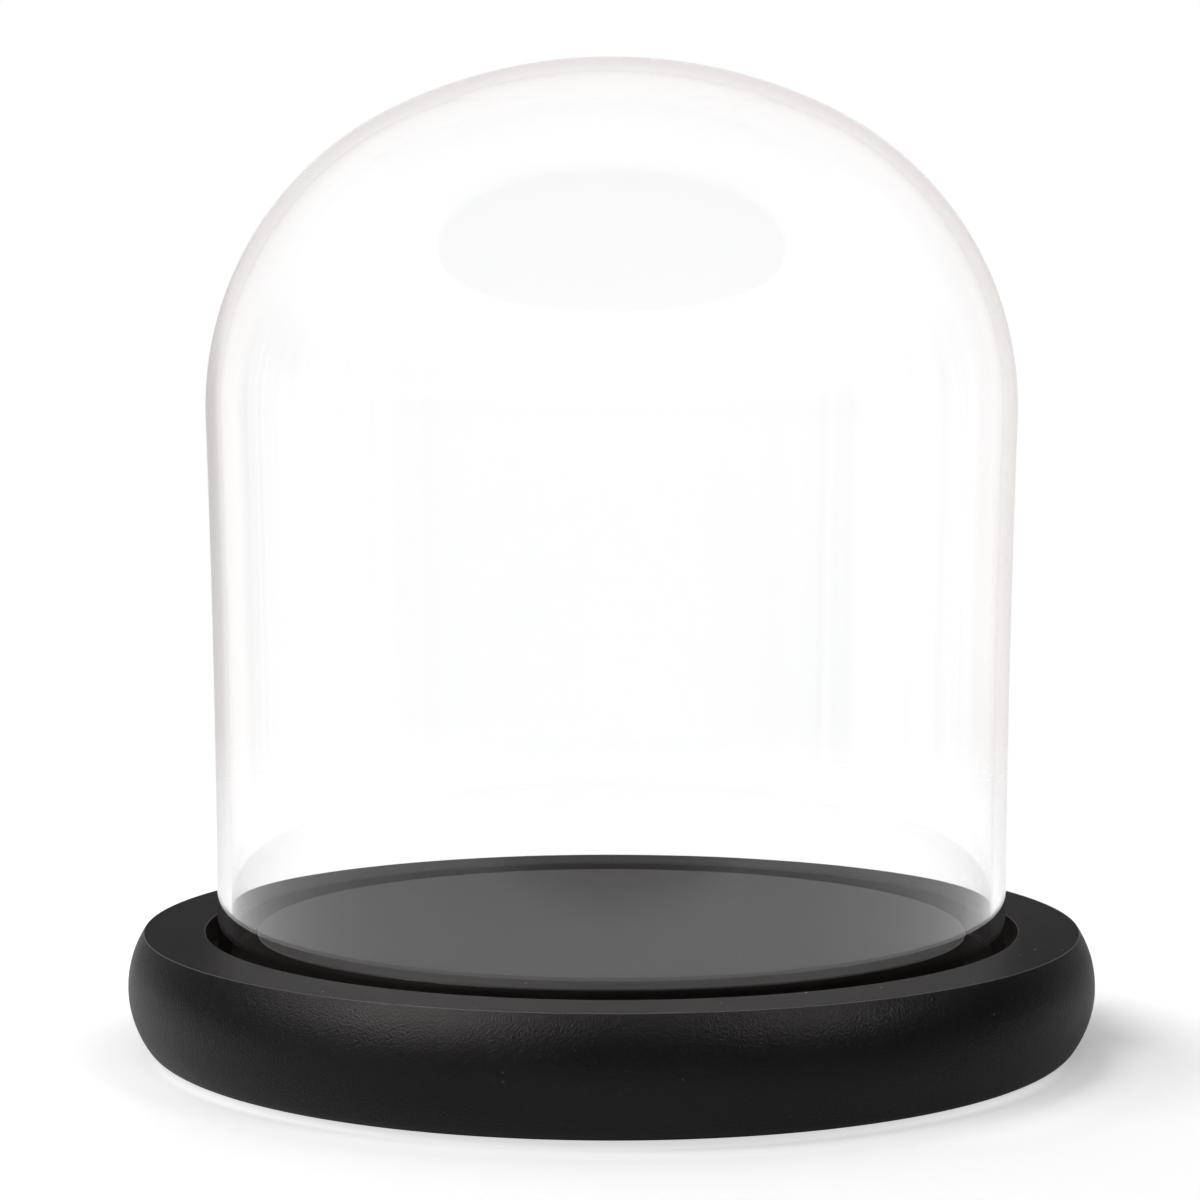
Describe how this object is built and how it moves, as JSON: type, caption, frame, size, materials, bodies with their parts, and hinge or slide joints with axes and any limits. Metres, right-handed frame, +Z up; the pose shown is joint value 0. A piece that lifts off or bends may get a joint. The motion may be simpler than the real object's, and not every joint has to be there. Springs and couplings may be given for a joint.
{
  "type": "bell jar dome",
  "caption": "Clear glass bell with a round crown standing in the groove of a black turned wooden base, lifted off to show or cover a small exhibit.",
  "frame": {"origin": "centre of the resting surface under the felt pads", "axes": "+Z up along the common axis of the bell and the base"},
  "size_m": [0.18, 0.18, 0.1834],
  "materials": {
    "clear_glass": "clear, polished",
    "black_wood": "black satin lacquer with a fine orange-peel texture",
    "felt": "pressed felt"
  },
  "bodies": {
    "base": {"turned_base": "black_wood", "felt_pad_1": "felt", "felt_pad_2": "felt", "felt_pad_3": "felt", "felt_pad_4": "felt"},
    "dome": {"glass_dome": "clear_glass"}
  },
  "joints": [
    {"name": "dome_lift", "type": "slide", "parent": "base", "child": "dome", "axis": [0, 0, 1], "range_m": [0, 0.17]}
  ]
}
